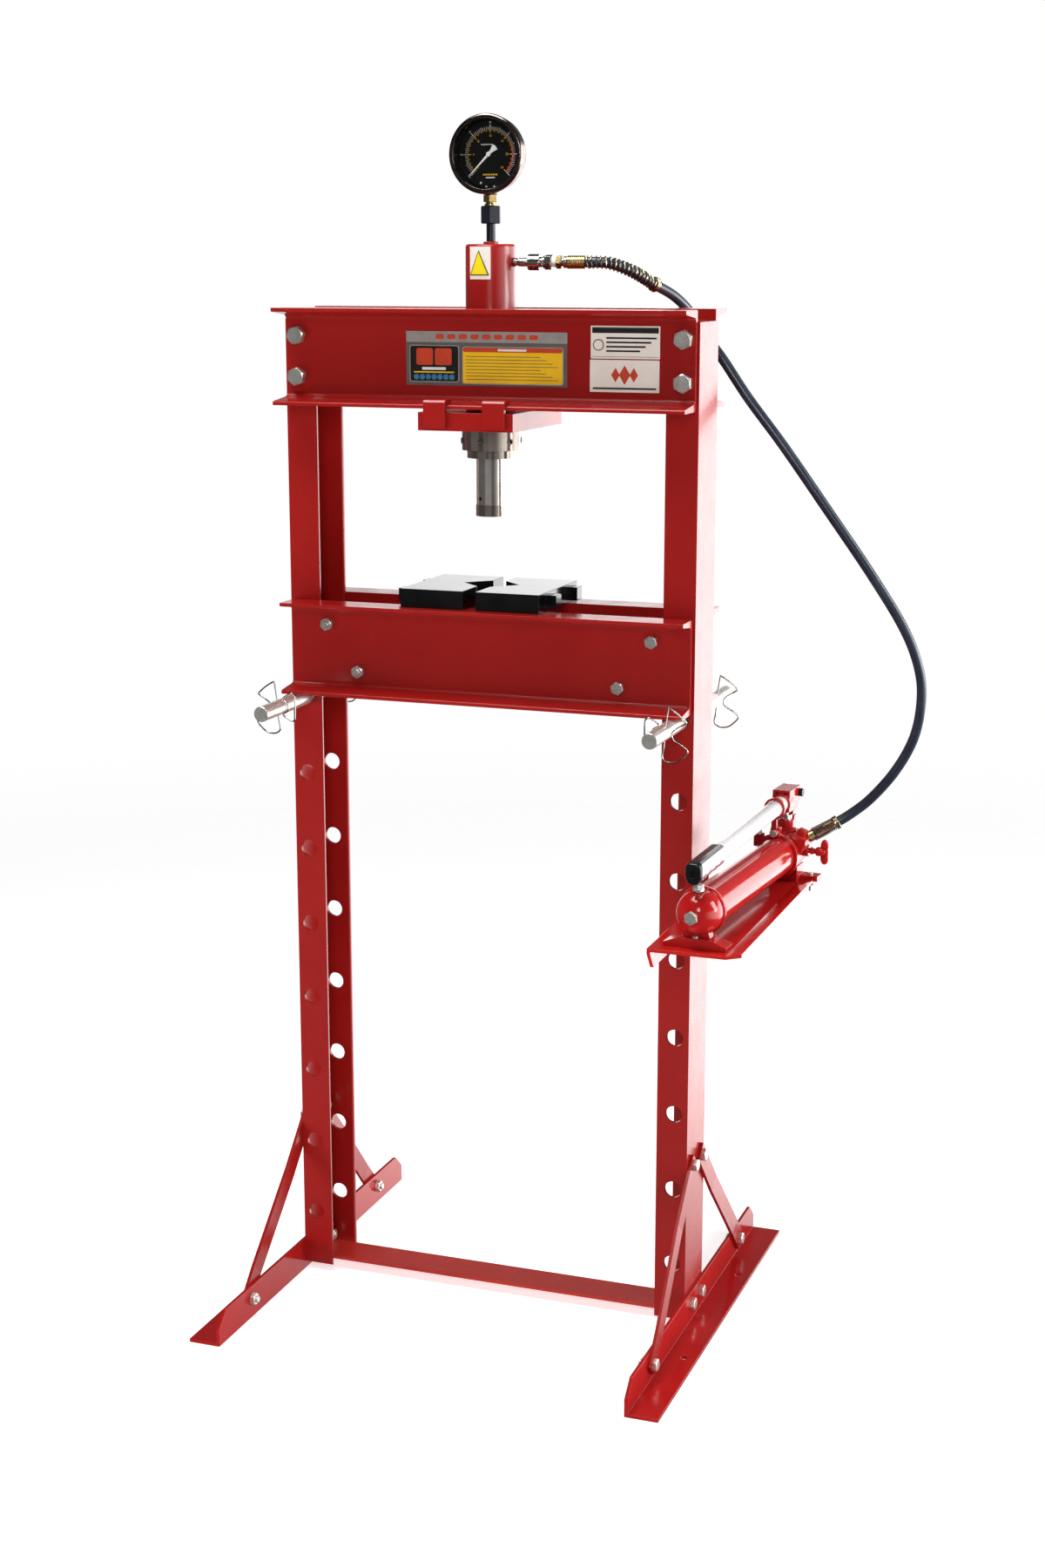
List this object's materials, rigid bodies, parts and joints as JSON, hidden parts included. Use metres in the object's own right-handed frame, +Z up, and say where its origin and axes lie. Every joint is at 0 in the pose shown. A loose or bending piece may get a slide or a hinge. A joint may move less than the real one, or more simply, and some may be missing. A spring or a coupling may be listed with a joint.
{
  "type": "hydraulic shop press",
  "caption": "Two-column hydraulic shop press with sliding ram head, pinned height-adjustable bed, arbor plates, pressure gauge and a hand pump on a side shelf joined by a hose.",
  "frame": {"origin": "on the floor, at the centre of the four anchor holes in the feet, midway between the columns", "axes": "+X to the pump side, +Y to the back, +Z up"},
  "size_m": [0.9815, 0.7, 1.7935],
  "materials": {
    "red_enamel": "gloss red enamel",
    "zinc_steel": "zinc plated",
    "brass": "bright",
    "brown_steel": "oiled, browned",
    "black_paint": "satin black",
    "bright_steel": "ground and polished",
    "dial_black": "matt",
    "lens": "clear",
    "needle_white": "matt white",
    "hose_rubber": "satin",
    "seal_rubber": "matt",
    "grip_black": "gloss"
  },
  "bodies": {
    "frame": {"left_column": "red_enamel", "right_column": "red_enamel", "crown_front_channel": "red_enamel", "crown_rear_channel": "red_enamel", "crown_bolts": "zinc_steel", "crown_nuts": "zinc_steel", "left_foot": "red_enamel", "right_foot": "red_enamel", "braces": "red_enamel", "base_crossbar": "red_enamel", "frame_bolts": "zinc_steel", "frame_nuts": "zinc_steel", "pump_shelf": "red_enamel", "pump_screws": "zinc_steel", "reservoir_tube": "red_enamel", "pump_end_cap": "red_enamel", "pump_plugs": "zinc_steel", "pump_head": "red_enamel", "pump_cylinder": "red_enamel", "hose_port_fitting": "brass", "lower_hose_guard": "brass", "hydraulic_hose": "hose_rubber"},
    "ram_head": {"ram_plate": "red_enamel", "head_hooks": "red_enamel", "cylinder_barrel": "red_enamel", "cylinder_gland": "brown_steel", "cylinder_ring_nut": "brown_steel", "gauge_adapter": "black_paint", "gauge_case": "black_paint", "gauge_bezel": "black_paint", "gauge_dial": "dial_black", "gauge_lens": "lens", "coupler_nipple": "zinc_steel", "coupler_socket": "zinc_steel", "hose_end_fitting": "brass", "upper_hose_guard": "brass", "return_spring": "zinc_steel"},
    "needle": {"gauge_needle": "needle_white"},
    "sleeve": {"coupler_sleeve": "brown_steel"},
    "ram": {"ram_rod": "bright_steel", "piston_seal": "seal_rubber", "ram_nose": "brown_steel"},
    "bed": {"bed_front_channel": "red_enamel", "bed_rear_channel": "red_enamel", "bed_spacers": "red_enamel", "bed_bolts": "zinc_steel", "bed_nuts": "zinc_steel"},
    "left_plate": {"left_arbor_plate": "black_paint"},
    "right_plate": {"right_arbor_plate": "black_paint"},
    "left_pin": {"left_bed_pin": "zinc_steel", "left_pin_clips": "zinc_steel"},
    "right_pin": {"right_bed_pin": "zinc_steel", "right_pin_clips": "zinc_steel"},
    "lever": {"lever_yoke": "red_enamel", "handle_tube": "bright_steel", "handle_grip": "grip_black", "pivot_pin": "black_paint"},
    "plunger": {"pump_plunger": "bright_steel"},
    "clip": {"handle_clip": "red_enamel"},
    "valve": {"release_valve": "red_enamel"}
  },
  "joints": [
    {"name": "head_slide", "type": "slide", "parent": "frame", "child": "ram_head", "axis": [1, 0, 0], "range_m": [-0.15, 0.15], "deforming": ["hydraulic_hose"]},
    {"name": "ram_stroke", "type": "slide", "parent": "ram_head", "child": "ram", "axis": [0, 0, 1], "range_m": [-0.1, 0], "stiffness_N_per_m": 600, "springref_m": 0.1, "deforming": ["return_spring"]},
    {"name": "needle_turn", "type": "hinge", "parent": "ram_head", "child": "needle", "pos_m": [-0.0105, 0, 1.7375], "axis": [0, 1, 0], "range_deg": [0, 270], "stiffness_Nm_per_rad": 0.02},
    {"name": "sleeve_slide", "type": "slide", "parent": "ram_head", "child": "sleeve", "axis": [1, 0, 0], "range_m": [0, 0.004]},
    {"name": "bed_height", "type": "slide", "parent": "frame", "child": "bed", "axis": [0, 0, 1], "range_m": [-0.72, 0]},
    {"name": "left_plate_slide", "type": "slide", "parent": "bed", "child": "left_plate", "axis": [1, 0, 0], "range_m": [-0.12, 0.008]},
    {"name": "right_plate_slide", "type": "slide", "parent": "bed", "child": "right_plate", "axis": [1, 0, 0], "range_m": [-0.008, 0.12]},
    {"name": "left_pin_slide", "type": "slide", "parent": "bed", "child": "left_pin", "axis": [0, 1, 0], "range_m": [-0.015, 0.015]},
    {"name": "right_pin_slide", "type": "slide", "parent": "bed", "child": "right_pin", "axis": [0, 1, 0], "range_m": [-0.015, 0.015]},
    {"name": "pump_lever", "type": "hinge", "parent": "frame", "child": "lever", "pos_m": [0.40917, 0.1791, 0.798], "axis": [-0.9978, 0.0663, 0], "range_deg": [0, 60]},
    {"name": "plunger_stroke", "type": "slide", "parent": "frame", "child": "plunger", "axis": [0, 0, 1], "range_m": [0, 0.0125]},
    {"name": "clip_swing", "type": "hinge", "parent": "frame", "child": "clip", "pos_m": [0.40394, 0.10027, 0.75], "axis": [0.0663, 0.9978, 0], "range_deg": [0, 100], "deforming": ["handle_clip"]},
    {"name": "valve_turn", "type": "hinge", "parent": "frame", "child": "valve", "pos_m": [0.40738, 0.15216, 0.715], "axis": [0.9978, -0.0663, 0], "range_deg": [0, 180]}
  ],
  "couplings": [
    {"joint": "plunger_stroke", "follows": "pump_lever", "m_per_rad": 0.0115},
    {"joint": "clip_swing", "follows": "pump_lever", "ratio": 1.65}
  ]
}
